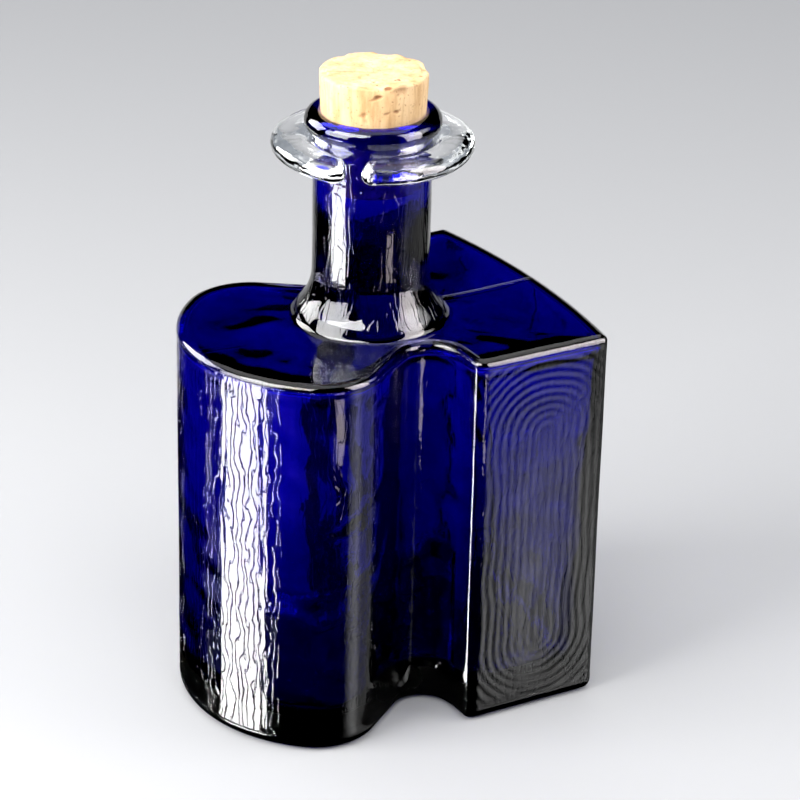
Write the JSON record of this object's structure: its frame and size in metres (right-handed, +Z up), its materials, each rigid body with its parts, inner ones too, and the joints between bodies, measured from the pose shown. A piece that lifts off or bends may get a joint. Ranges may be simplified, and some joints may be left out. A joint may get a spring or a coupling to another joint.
{
  "type": "corked glass decanter bottle",
  "caption": "Cobalt blue mould-blown glass bottle with a waisted body, a clear glass collar ring round the neck and a tapered cork stopper.",
  "frame": {"origin": "centre of the base on the floor, on the neck's axis", "axes": "+Z up along the neck, +X from the round lobe to the flat-ended lobe in the mould's symmetry plane, +Y across the waist"},
  "size_m": [0.0918, 0.0734, 0.154],
  "materials": {
    "cobalt_glass": "glossy",
    "clear_glass": "glossy",
    "cork": "matte"
  },
  "bodies": {
    "bottle": {"glass_bottle": "cobalt_glass", "collar_ring": "clear_glass"},
    "cork": {"cork_stopper": "cork"}
  },
  "joints": [
    {"name": "cork_pull", "type": "slide", "parent": "bottle", "child": "cork", "axis": [0, 0, 1], "range_m": [0, 0.03]}
  ]
}
